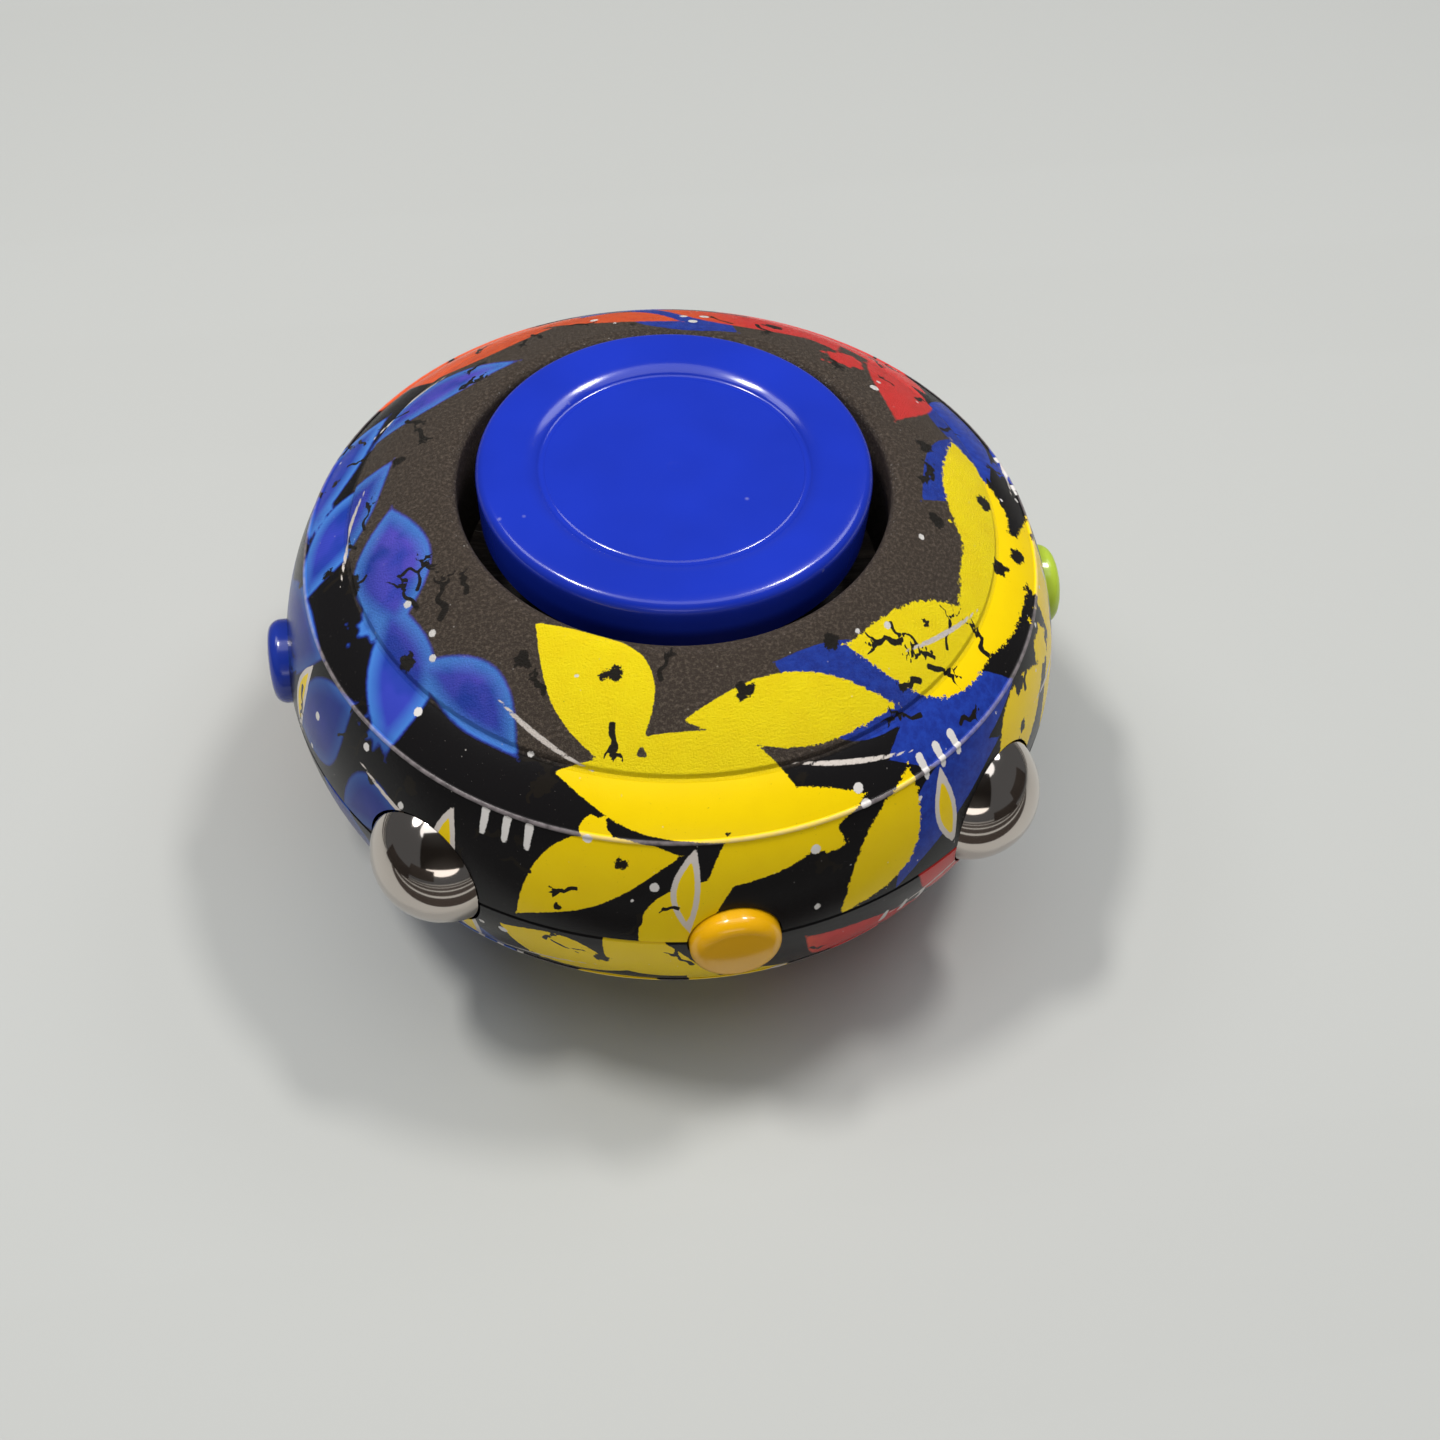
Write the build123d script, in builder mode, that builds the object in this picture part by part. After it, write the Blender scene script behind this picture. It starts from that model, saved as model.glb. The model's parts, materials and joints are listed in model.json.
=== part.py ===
"""Fingertip spinner: a two-part printed shell that spins between two finger pads.

The shell runs on one central ball bearing.  Four steel balls and four spring push
buttons sit around its seam.  Millimetres, +Z up, origin under the middle of the
lower pad, which is the face that the spinner stands on.
"""
import os

from build123d import *

os.makedirs("parts", exist_ok=True)

# --- driving dimensions ------------------------------------------------------------
SEAM_Z = 18.3                # height of the seam plane, half of the overall height
SEAM_R = 31.2                # widest radius of the shell, at the seam

# outer profile of one shell half: radius, height above the seam
RIDGE_R, RIDGE_H = 28.7, 9.0
SIDE_MID_R, SIDE_MID_H = 30.48, 4.65
STEP_LOW_R, STEP_LOW_H = 25.1, 11.72
BAND_MID_R, BAND_MID_H = 27.0, 10.5
STEP_TOP_R, STEP_TOP_H = 24.9, 12.15
DOME_MID_R, DOME_MID_H = 21.2, 14.72
LIP_R, LIP_H = 17.6, 16.3
WELL_R = 16.5
LIP_ROUND = 0.55
RIDGE_ROUND = 0.45
SEAM_CHAMFER = 0.18

# walls of the shell; the hollow follows the outer form, thicker behind the step
HOLLOW_R = 28.8
HOLLOW_SIDE_R, HOLLOW_SIDE_H = 28.28, 4.65
HOLLOW_RIDGE_R, HOLLOW_RIDGE_H = 26.7, 8.2
HOLLOW_STEP_R, HOLLOW_STEP_H = 23.6, 10.15
HOLLOW_TOP_H = 11.9
WELL_WALL = 1.7
FLOOR_TOP = 6.4
FLOOR_BOTTOM = 4.9
TONGUE_IN_R, TONGUE_OUT_R = 29.55, 30.15
TONGUE_HEIGHT = 0.8
TONGUE_PLAY = 0.08

# central bearing, 22 mm outside, 8 mm bore, 7 mm wide
BEARING_R, BEARING_BORE_R, BEARING_WIDTH = 11.0, 4.0, 7.0
INNER_RACE_R, OUTER_RACE_R = 6.05, 9.25
RACE_PITCH_R, RACE_BALL_R, RACE_BALLS = 7.5, 1.985, 7
RACE_PLAY = 0.045
BEARING_BOSS_R = 12.8
BEARING_LIP_R = 9.6
SHIELD_THICKNESS = 0.3
SHIELD_IN_R, SHIELD_OUT_R = 6.3, 9.25
SHIELD_INSET = 0.2
CAGE_HALF_WIDTH = 0.9
CAGE_BOTTOM, CAGE_TOP = -0.6, 2.75

# finger pads
PAD_R = 15.0
PAD_EDGE_ROUND = 0.85
PAD_DEPTH = 4.6
PAD_WALL = 1.7
PAD_DRAFT = 0.15             # the skirt is this much smaller at its open end
PAD_UNDER_RIM, PAD_UNDER_STEM = 2.3, 2.55
PAD_FLOOR_R = 10.3
PAD_SHOULDER_R = 12.2
PAD_RECESS = 0.65
PAD_STEM_R = 5.4
PAD_SPIGOT_R = 3.97
PAD_SPIGOT_GAP = 0.1         # between the spigot and the seam plane, where both pads meet
PAD_RIBS = 6
PAD_RIB_THICKNESS = 1.2
PAD_RIB_HEIGHT = 1.7
PAD_RIB_TOP = 2.8
PAD_RIB_BITE = 0.6           # how far the ribs run into the stem and skirt, both ends together
PIN_R, PIN_LENGTH = 2.0, 26.0
PIN_END_PLAY = 0.2
PIN_CHAMFER = 0.3

# steel balls trapped in the seam
BALL_R, BALL_RING_R = 5.5, 28.6
BALL_PLAY = 0.15
SOCKET_WALL = 1.6
BALL_NAMES = {"front_right": -45, "rear_right": 45, "rear_left": 135, "front_left": 225}

# push buttons, along +X before they are turned into place
BUTTON_R = 3.4
BUTTON_PLAY = 0.1
BUTTON_APEX = 32.7
BUTTON_FACE_X, BUTTON_FACE_R = 32.48, 2.35
BUTTON_FACE_SAG = 0.06
BUTTON_EDGE_X, BUTTON_EDGE_R = 32.16, 3.1
BUTTON_SIDE_X = 31.45
FLANGE_R, FLANGE_FRONT, FLANGE_BACK = 4.6, 27.95, 26.6
STEM_R, STEM_END = 1.2, 18.0
BARREL_R, BARREL_WALL = 4.75, 1.15
BARREL_FRONT, BARREL_BACK, BARREL_BACK_WALL = 28.0, 20.0, 1.2
BARREL_OVERCUT = 1.0
STEM_PLAY = 0.15
SPRING_R, SPRING_WIRE_R, SPRING_TURNS = 2.4, 0.22, 6
SPRING_PLAY = 0.03
BUTTON_NAMES = {"right": 0, "rear": 90, "left": 180, "front": 270}

# self-tapping screws that hold the halves together, reached under the lower pad
SCREW_RING_R = 15.0
SCREW_R, SCREW_HEAD_R = 0.93, 1.8
SCREW_TIP_H = 4.0
SCREW_HEAD_THICKNESS = 1.1
SCREW_HOLE_R = 1.15
SCREW_PILOT_R = 0.95
SCREW_PILOT_DEPTH = 4.6
SCREW_BOSS_R = 2.3
SCREW_COUNTERBORE = 1.3
SCREW_COUNTERBORE_R = 2.0
CROSS_LENGTH, CROSS_WIDTH, CROSS_DEPTH = 2.0, 0.5, 0.6

# working planes
seam = Plane.XY.offset(SEAM_Z)
section = Plane(origin=(0, 0, SEAM_Z), x_dir=(1, 0, 0), z_dir=(0, -1, 0))
spin_axis = Axis.Z
button_axis = Axis((0, 0, SEAM_Z), (1, 0, 0))


def save(piece, name):
    """Label a finished piece and write it as one STEP file."""
    piece.label = name
    export_step(piece, f"parts/{name}.step")


def turned(piece, degrees):
    """Turn a finished piece about the spin axis, to its place on the shell."""
    return piece.rotate(spin_axis, degrees)


def ring(inner_r, outer_r, bottom, top, mode=Mode.ADD):
    """A plain ring about the spin axis, between two heights above the seam."""
    with BuildSketch(seam.offset(bottom)) as base:
        Circle(outer_r)
        if inner_r > 0:
            Circle(inner_r, mode=Mode.SUBTRACT)
    extrude(base.sketch, amount=top - bottom, mode=mode)


# --- shell halves ------------------------------------------------------------------
# The full outer form of one half, solid down to the spin axis.
with BuildPart() as outer_form:
    with BuildSketch(section) as outer_profile:
        with BuildLine():
            Line((0, 0), (SEAM_R - SEAM_CHAMFER, 0))
            Line((SEAM_R - SEAM_CHAMFER, 0), (SEAM_R, SEAM_CHAMFER))
            ThreePointArc((SEAM_R, SEAM_CHAMFER), (SIDE_MID_R, SIDE_MID_H), (RIDGE_R, RIDGE_H))
            ThreePointArc((RIDGE_R, RIDGE_H), (BAND_MID_R, BAND_MID_H), (STEP_LOW_R, STEP_LOW_H))
            Line((STEP_LOW_R, STEP_LOW_H), (STEP_TOP_R, STEP_TOP_H))
            ThreePointArc((STEP_TOP_R, STEP_TOP_H), (DOME_MID_R, DOME_MID_H), (LIP_R, LIP_H))
            Line((LIP_R, LIP_H), (WELL_R, LIP_H))
            Line((WELL_R, LIP_H), (0, LIP_H))
            Line((0, LIP_H), (0, 0))
        make_face()
        ridge_corner = outer_profile.vertices().sort_by_distance((RIDGE_R, 0, SEAM_Z + RIDGE_H))[0]
        fillet(ridge_corner, radius=RIDGE_ROUND)
    revolve(axis=spin_axis)

# The hollow between the outer wall and the well wall, open at the seam.
with BuildPart() as hollow:
    with BuildSketch(section):
        with BuildLine():
            Line((BEARING_BOSS_R, 0), (HOLLOW_R, 0))
            ThreePointArc((HOLLOW_R, 0), (HOLLOW_SIDE_R, HOLLOW_SIDE_H), (HOLLOW_RIDGE_R, HOLLOW_RIDGE_H))
            Line((HOLLOW_RIDGE_R, HOLLOW_RIDGE_H), (HOLLOW_STEP_R, HOLLOW_STEP_H))
            Line((HOLLOW_STEP_R, HOLLOW_STEP_H), (WELL_R + WELL_WALL, HOLLOW_TOP_H))
            Line((WELL_R + WELL_WALL, HOLLOW_TOP_H), (WELL_R + WELL_WALL, FLOOR_BOTTOM))
            Line((WELL_R + WELL_WALL, FLOOR_BOTTOM), (BEARING_BOSS_R, FLOOR_BOTTOM))
            Line((BEARING_BOSS_R, FLOOR_BOTTOM), (BEARING_BOSS_R, 0))
        make_face()
    revolve(axis=spin_axis)


def shell_half(screw_hole_r, screw_hole_depth):
    """One moulded half: walls, well, bearing seat, ball sockets and button barrels."""
    with BuildPart() as half:
        add(outer_form.part)
        # the well that the finger pad sits in, with its rounded lip
        ring(0, WELL_R, FLOOR_TOP, LIP_H, mode=Mode.SUBTRACT)
        lip_edge = half.edges().filter_by(GeomType.CIRCLE).group_by(Axis.Z)[-1]
        fillet(lip_edge, radius=LIP_ROUND)
        add(hollow.part, mode=Mode.SUBTRACT)
        # screw bosses under the floor of the well
        with BuildSketch(seam):
            with PolarLocations(SCREW_RING_R, 4, start_angle=45):
                Circle(SCREW_BOSS_R)
        extrude(amount=FLOOR_BOTTOM)
        with BuildSketch(seam):
            with PolarLocations(SCREW_RING_R, 4, start_angle=45):
                Circle(screw_hole_r)
        extrude(amount=screw_hole_depth, mode=Mode.SUBTRACT)
        # bearing seat, with a lip that holds the outer race
        ring(0, BEARING_R, 0, BEARING_WIDTH / 2, mode=Mode.SUBTRACT)
        ring(0, BEARING_LIP_R, 0, FLOOR_TOP, mode=Mode.SUBTRACT)
        # half sockets for the steel balls and half barrels for the buttons
        add(supports.part)
        add(sockets.part, mode=Mode.SUBTRACT)
    return half


# Walls of the ball sockets and button barrels, kept inside the outer form.
with BuildPart() as supports:
    for azimuth in BALL_NAMES.values():
        with Locations(seam * Rot(0, 0, azimuth) * Pos(BALL_RING_R, 0, 0)):
            Sphere(BALL_R + SOCKET_WALL)
    for azimuth in BUTTON_NAMES.values():
        with BuildSketch(Plane(seam * Rot(0, 0, azimuth) * Pos(BARREL_BACK - BARREL_BACK_WALL, 0, 0)
                               * Rot(0, 90, 0))):
            Circle(BARREL_R + BARREL_WALL)
        extrude(amount=SEAM_R - BARREL_BACK + BARREL_BACK_WALL)
    add(outer_form.part, mode=Mode.INTERSECT)

# Room for the balls, and for the button caps, flanges and stems.
with BuildPart() as sockets:
    for azimuth in BALL_NAMES.values():
        with Locations(seam * Rot(0, 0, azimuth) * Pos(BALL_RING_R, 0, 0)):
            Sphere(BALL_R + BALL_PLAY)
    for azimuth in BUTTON_NAMES.values():
        for radius, start, end in (
            (BUTTON_R + BUTTON_PLAY, BARREL_BACK, SEAM_R + BARREL_OVERCUT),
            (BARREL_R, BARREL_BACK, BARREL_FRONT),
            (STEM_R + STEM_PLAY, BARREL_BACK - BARREL_BACK_WALL - BARREL_OVERCUT, BARREL_BACK),
        ):
            with BuildSketch(Plane(seam * Rot(0, 0, azimuth) * Pos(start, 0, 0) * Rot(0, 90, 0))):
                Circle(radius)
            extrude(amount=end - start)

with BuildPart() as upper_shell:
    add(shell_half(SCREW_PILOT_R, SCREW_PILOT_DEPTH).part)
    ring(TONGUE_IN_R - TONGUE_PLAY, TONGUE_OUT_R + TONGUE_PLAY, 0,
         TONGUE_HEIGHT + TONGUE_PLAY, mode=Mode.SUBTRACT)
save(upper_shell.part, "upper_shell")

with BuildPart() as tongue:
    ring(TONGUE_IN_R, TONGUE_OUT_R, -TONGUE_HEIGHT, TONGUE_HEIGHT)
    add(sockets.part, mode=Mode.SUBTRACT)

with BuildPart() as lower_shell:
    mirror(shell_half(SCREW_HOLE_R, FLOOR_TOP).part, about=seam)
    add(tongue.part)
    # counterbores for the screw heads, sunk in the floor of the lower well
    with BuildSketch(seam.offset(-FLOOR_TOP)):
        with PolarLocations(SCREW_RING_R, 4, start_angle=45):
            Circle(SCREW_COUNTERBORE_R)
    extrude(amount=SCREW_COUNTERBORE, mode=Mode.SUBTRACT)
save(lower_shell.part, "lower_shell")

# --- finger pads and the pin through the bearing -------------------------------------
PAD_H = SEAM_Z                       # height of the pad's raised ring above the seam
PIN_HALF = PIN_LENGTH / 2
slope_middle = ((PAD_FLOOR_R + PAD_SHOULDER_R) / 2, PAD_H - PAD_RECESS / 2)

with BuildPart() as upper_pad:
    with BuildSketch(section) as pad_profile:
        with BuildLine():
            Line((0, PAD_H - PAD_RECESS), (PAD_FLOOR_R, PAD_H - PAD_RECESS))
            TangentArc((PAD_FLOOR_R, PAD_H - PAD_RECESS), slope_middle, tangent=(1, 0))
            TangentArc((PAD_SHOULDER_R, PAD_H), slope_middle, tangent=(-1, 0))
            Line((PAD_SHOULDER_R, PAD_H), (PAD_R, PAD_H))
            Line((PAD_R, PAD_H), (PAD_R - PAD_DRAFT, PAD_H - PAD_DEPTH))
            Line((PAD_R - PAD_DRAFT, PAD_H - PAD_DEPTH), (PAD_R - PAD_WALL, PAD_H - PAD_DEPTH))
            Line((PAD_R - PAD_WALL, PAD_H - PAD_DEPTH), (PAD_R - PAD_WALL, PAD_H - PAD_UNDER_RIM))
            Line((PAD_R - PAD_WALL, PAD_H - PAD_UNDER_RIM), (PAD_STEM_R, PAD_H - PAD_UNDER_STEM))
            Line((PAD_STEM_R, PAD_H - PAD_UNDER_STEM), (PAD_STEM_R, BEARING_WIDTH / 2))
            Line((PAD_STEM_R, BEARING_WIDTH / 2), (PAD_SPIGOT_R, BEARING_WIDTH / 2))
            Line((PAD_SPIGOT_R, BEARING_WIDTH / 2), (PAD_SPIGOT_R, PAD_SPIGOT_GAP))
            Line((PAD_SPIGOT_R, PAD_SPIGOT_GAP), (PIN_R, PAD_SPIGOT_GAP))
            Line((PIN_R, PAD_SPIGOT_GAP), (PIN_R, PIN_HALF + PIN_END_PLAY))
            Line((PIN_R, PIN_HALF + PIN_END_PLAY), (0, PIN_HALF + PIN_END_PLAY))
            Line((0, PIN_HALF + PIN_END_PLAY), (0, PAD_H - PAD_RECESS))
        make_face()
        rim_corner = pad_profile.vertices().sort_by_distance((PAD_R, 0, SEAM_Z + PAD_H))[0]
        fillet(rim_corner, radius=PAD_EDGE_ROUND)
    revolve(axis=spin_axis)
    # stiffening ribs from the stem to the skirt, under the top
    for index in range(PAD_RIBS):
        with BuildSketch(Plane(seam.offset(PAD_H - PAD_RIB_TOP) * Rot(0, 0, index * 360 / PAD_RIBS))):
            with Locations(((PAD_STEM_R + PAD_R - PAD_WALL) / 2, 0)):
                Rectangle(PAD_R - PAD_WALL - PAD_STEM_R + PAD_RIB_BITE, PAD_RIB_THICKNESS)
        extrude(amount=-PAD_RIB_HEIGHT)
save(upper_pad.part, "upper_pad")

with BuildPart() as lower_pad:
    mirror(upper_pad.part, about=seam)
save(lower_pad.part, "lower_pad")

with BuildPart() as centre_pin:
    ring(0, PIN_R, -PIN_HALF, PIN_HALF)
    chamfer(centre_pin.edges().filter_by(GeomType.CIRCLE), length=PIN_CHAMFER)
save(centre_pin.part, "centre_pin")

# --- central ball bearing ------------------------------------------------------------


def race(inner_r, outer_r):
    """A bearing ring with its ball groove."""
    half_width = BEARING_WIDTH / 2
    with BuildPart() as body:
        ring(inner_r, outer_r, -half_width, half_width)
        chamfer(body.edges().filter_by(GeomType.CIRCLE), length=PIN_CHAMFER)
        with Locations(seam):
            Torus(RACE_PITCH_R, RACE_BALL_R + RACE_PLAY, mode=Mode.SUBTRACT)
    return body


save(race(BEARING_BORE_R, INNER_RACE_R).part, "bearing_inner_race")
save(race(OUTER_RACE_R, BEARING_R).part, "bearing_outer_race")

with BuildPart() as race_balls:
    with Locations(seam):
        with PolarLocations(RACE_PITCH_R, RACE_BALLS):
            Sphere(RACE_BALL_R)
save(race_balls.part, "bearing_balls")

# crown cage: its pockets open downwards, and the ring above the balls stays whole
with BuildPart() as cage:
    ring(RACE_PITCH_R - CAGE_HALF_WIDTH, RACE_PITCH_R + CAGE_HALF_WIDTH, CAGE_BOTTOM, CAGE_TOP)
    with Locations(seam):
        with PolarLocations(RACE_PITCH_R, RACE_BALLS):
            Sphere(RACE_BALL_R + RACE_PLAY, mode=Mode.SUBTRACT)
save(cage.part, "bearing_cage")

for name, side in (("upper", 1), ("lower", -1)):
    shield_h = BEARING_WIDTH / 2 - SHIELD_INSET - SHIELD_THICKNESS
    with BuildPart() as shield:
        with BuildSketch(seam.offset(side * shield_h)):
            Circle(SHIELD_OUT_R)
            Circle(SHIELD_IN_R, mode=Mode.SUBTRACT)
        extrude(amount=side * SHIELD_THICKNESS)
    save(shield.part, f"bearing_shield_{name}")

# --- steel balls -----------------------------------------------------------------------
for name, azimuth in BALL_NAMES.items():
    with BuildPart() as steel_ball:
        with Locations(seam * Rot(0, 0, azimuth) * Pos(BALL_RING_R, 0, 0)):
            Sphere(BALL_R)
    save(steel_ball.part, f"steel_ball_{name}")

# --- push buttons and their springs ------------------------------------------------------
with BuildPart() as button:
    with BuildSketch(section) as button_profile:
        with BuildLine():
            Line((STEM_END, 0), (BUTTON_APEX, 0))
            ThreePointArc((BUTTON_APEX, 0), (BUTTON_APEX - BUTTON_FACE_SAG, BUTTON_FACE_R / 2),
                          (BUTTON_FACE_X, BUTTON_FACE_R))
            ThreePointArc((BUTTON_FACE_X, BUTTON_FACE_R), (BUTTON_EDGE_X, BUTTON_EDGE_R),
                          (BUTTON_SIDE_X, BUTTON_R))
            Line((BUTTON_SIDE_X, BUTTON_R), (FLANGE_FRONT, BUTTON_R))
            Line((FLANGE_FRONT, BUTTON_R), (FLANGE_FRONT, FLANGE_R))
            Line((FLANGE_FRONT, FLANGE_R), (FLANGE_BACK, FLANGE_R))
            Line((FLANGE_BACK, FLANGE_R), (FLANGE_BACK, STEM_R))
            Line((FLANGE_BACK, STEM_R), (STEM_END, STEM_R))
            Line((STEM_END, STEM_R), (STEM_END, 0))
        make_face()
    revolve(axis=button_axis)

spring_start = BARREL_BACK + SPRING_WIRE_R + SPRING_PLAY
spring_length = FLANGE_BACK - BARREL_BACK - 2 * (SPRING_WIRE_R + SPRING_PLAY)
with BuildPart() as spring:
    with BuildLine() as coil:
        Helix(
            pitch=spring_length / SPRING_TURNS,
            height=spring_length,
            radius=SPRING_R,
            center=(spring_start, 0, SEAM_Z),
            direction=(1, 0, 0),
        )
    with BuildSketch(coil.line ^ 0):
        Circle(SPRING_WIRE_R)
    sweep()

for name, azimuth in BUTTON_NAMES.items():
    save(turned(button.part, azimuth), f"button_{name}")
    save(turned(spring.part, azimuth), f"button_spring_{name}")

# --- screws ------------------------------------------------------------------------------
head_h = -FLOOR_TOP + SCREW_COUNTERBORE          # seat of the screw heads
with BuildPart() as screws:
    with BuildSketch(seam.offset(head_h)):
        with PolarLocations(SCREW_RING_R, 4, start_angle=45):
            Circle(SCREW_R)
    extrude(amount=SCREW_TIP_H - head_h)
    with BuildSketch(seam.offset(head_h)):
        with PolarLocations(SCREW_RING_R, 4, start_angle=45):
            Circle(SCREW_HEAD_R)
    extrude(amount=-SCREW_HEAD_THICKNESS)
    with BuildSketch(seam.offset(head_h - SCREW_HEAD_THICKNESS)):
        with PolarLocations(SCREW_RING_R, 4, start_angle=45):
            Rectangle(CROSS_LENGTH, CROSS_WIDTH)
            Rectangle(CROSS_WIDTH, CROSS_LENGTH)
    extrude(amount=CROSS_DEPTH, mode=Mode.SUBTRACT)
save(screws.part, "shell_screws")
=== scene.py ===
"""Looks of the printed fingertip spinner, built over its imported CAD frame."""
import json
import math

import bpy
import numpy as np
from mathutils import Matrix, Vector


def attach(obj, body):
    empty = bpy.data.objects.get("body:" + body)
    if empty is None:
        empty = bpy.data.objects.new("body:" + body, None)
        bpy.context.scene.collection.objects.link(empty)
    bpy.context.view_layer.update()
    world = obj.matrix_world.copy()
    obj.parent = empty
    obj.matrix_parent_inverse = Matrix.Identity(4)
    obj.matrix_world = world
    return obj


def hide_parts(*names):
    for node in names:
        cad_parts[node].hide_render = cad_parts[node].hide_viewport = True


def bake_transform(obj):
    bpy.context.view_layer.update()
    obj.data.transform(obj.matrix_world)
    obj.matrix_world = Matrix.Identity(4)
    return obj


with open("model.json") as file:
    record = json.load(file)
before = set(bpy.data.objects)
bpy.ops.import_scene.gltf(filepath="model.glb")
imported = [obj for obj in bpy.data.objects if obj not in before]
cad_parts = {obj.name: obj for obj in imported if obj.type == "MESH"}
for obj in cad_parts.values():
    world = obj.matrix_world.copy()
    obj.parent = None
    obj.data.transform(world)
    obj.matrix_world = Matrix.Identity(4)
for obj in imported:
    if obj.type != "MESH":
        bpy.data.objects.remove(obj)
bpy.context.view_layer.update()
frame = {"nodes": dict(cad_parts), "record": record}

# --- sizes, in millimetres; meshes are scaled to metres when they are made ---------------
MM = 0.001
SEAM_Z = 18.3
SEAM_R, SEAM_CHAMFER = 31.2, 0.18
RIDGE_H = 9.0
BEAD = (28.60, 8.93, 0.24)            # centre radius, height and radius of the ridge bead
BAND_MID, BAND_TOP = (27.0, 10.5), (25.1, 11.72)
DOME_MID, DOME_TOP = (21.2, 14.72), (17.6, 16.3)
WELL_R, LIP_ROUND, WELL_FLOOR = 16.5, 0.55, 6.4
BALL_R, BALL_RING_R, SOCKET_R = 5.5, 28.6, 5.68
BUTTON_HOLE_R = 3.52
BALLS = {"front_right": -45, "rear_right": 45, "rear_left": 135, "front_left": 225}
BUTTONS = {"right": (0, "green"), "rear": (90, "red"), "left": (180, "blue"), "front": (270, "yellow")}

FILM_R = 40.0                         # the film print is flat out to this radius at the seam
FAR = 1.6                             # distances to painted shapes are kept up to this


# --- curves and meshes -------------------------------------------------------------------
def arc(start, middle, end, step):
    """Points of a profile along the circle through three points, about step apart."""
    (x1, y1), (x2, y2), (x3, y3) = start, middle, end
    d = 2 * (x1 * (y2 - y3) + x2 * (y3 - y1) + x3 * (y1 - y2))
    a, b, c = x1 * x1 + y1 * y1, x2 * x2 + y2 * y2, x3 * x3 + y3 * y3
    cx = (a * (y2 - y3) + b * (y3 - y1) + c * (y1 - y2)) / d
    cy = (a * (x3 - x2) + b * (x1 - x3) + c * (x2 - x1)) / d
    radius = math.hypot(x1 - cx, y1 - cy)
    first = math.atan2(y1 - cy, x1 - cx)
    turn = [(math.atan2(y - cy, x - cx) - first + math.pi) % (2 * math.pi) - math.pi
            for x, y in (middle, end)]
    sweep = turn[1] if turn[0] * turn[1] > 0 else turn[1] - math.copysign(2 * math.pi, turn[1])
    count = max(2, math.ceil(abs(sweep) * radius / step))
    return [(cx + radius * math.cos(first + sweep * i / count),
             cy + radius * math.sin(first + sweep * i / count)) for i in range(count + 1)]


def round_corner(cx, cy, radius, start, end, count):
    """Points of a profile round a circle, between two angles in degrees."""
    angles = np.radians(np.linspace(start, end, count))
    return [(cx + radius * math.cos(a), cy + radius * math.sin(a)) for a in angles]


def straight(start, end, step):
    """Points of a profile along a straight run, about step apart."""
    count = max(1, math.ceil(math.dist(start, end) / step))
    return [(start[0] + (end[0] - start[0]) * i / count, start[1] + (end[1] - start[1]) * i / count)
            for i in range(count + 1)]


def joined(*runs):
    """One profile from several runs, without the points that they share."""
    points = [runs[0][0]]
    for run in runs:
        points += [p for p in run if math.dist(p, points[-1]) > 1e-4]
    return points


def lathe(profile, segments, closed):
    """Vertices and faces of a profile of radius, height turned round the Z axis."""
    if closed:
        profile = profile[:-1] if math.dist(profile[0], profile[-1]) < 1e-4 else profile
    verts, rings, faces = [], [], []
    for r, h in profile:
        if r < 1e-6:
            rings.append([len(verts)] * segments)
            verts.append((0.0, 0.0, h))
            continue
        rings.append(list(range(len(verts), len(verts) + segments)))
        angles = np.arange(segments) * 2 * math.pi / segments
        verts += zip(r * np.cos(angles), r * np.sin(angles), [h] * segments)
    pairs = list(zip(rings, rings[1:])) + ([(rings[-1], rings[0])] if closed else [])
    for low, high in pairs:
        for i in range(segments):
            j = (i + 1) % segments
            corners = [low[i], low[j], high[j], high[i]]
            faces.append([c for k, c in enumerate(corners) if c != corners[k - 1]])
    return np.array(verts, float), faces


def make_object(name, verts, faces, material=None, sharp=35):
    """A mesh object from vertices in millimetres, smooth apart from edges over sharp degrees."""
    mesh = bpy.data.meshes.new(name)
    mesh.from_pydata((np.asarray(verts) * MM).tolist(), [], faces)
    mesh.update()
    obj = bpy.data.objects.new(name, mesh)
    bpy.context.scene.collection.objects.link(obj)
    if material is not None:
        mesh.materials.append(material)
    smooth_shade(mesh, sharp)
    return obj


def smooth_shade(mesh, sharp):
    """Smooth shading, with the edges that turn more than sharp degrees kept crisp."""
    mesh.shade_smooth()
    mesh.set_sharp_from_angle(angle=math.radians(sharp))


def turned(verts, matrix):
    """Vertices moved by a 4 x 4 matrix, in millimetres."""
    m = np.array(matrix)
    return verts @ m[:3, :3].T + m[:3, 3]


def cut_out(obj, cutters):
    """Takes the cutter objects out of a mesh, and removes them."""
    for cutter in cutters:
        modifier = obj.modifiers.new("cut", "BOOLEAN")
        modifier.operation = "DIFFERENCE"
        modifier.solver = "MANIFOLD"
        modifier.object = cutter
    graph = bpy.context.evaluated_depsgraph_get()
    mesh = bpy.data.meshes.new_from_object(obj.evaluated_get(graph))
    obj.modifiers.clear()
    obj.data = mesh
    for cutter in cutters:
        bpy.data.objects.remove(cutter)


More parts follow.
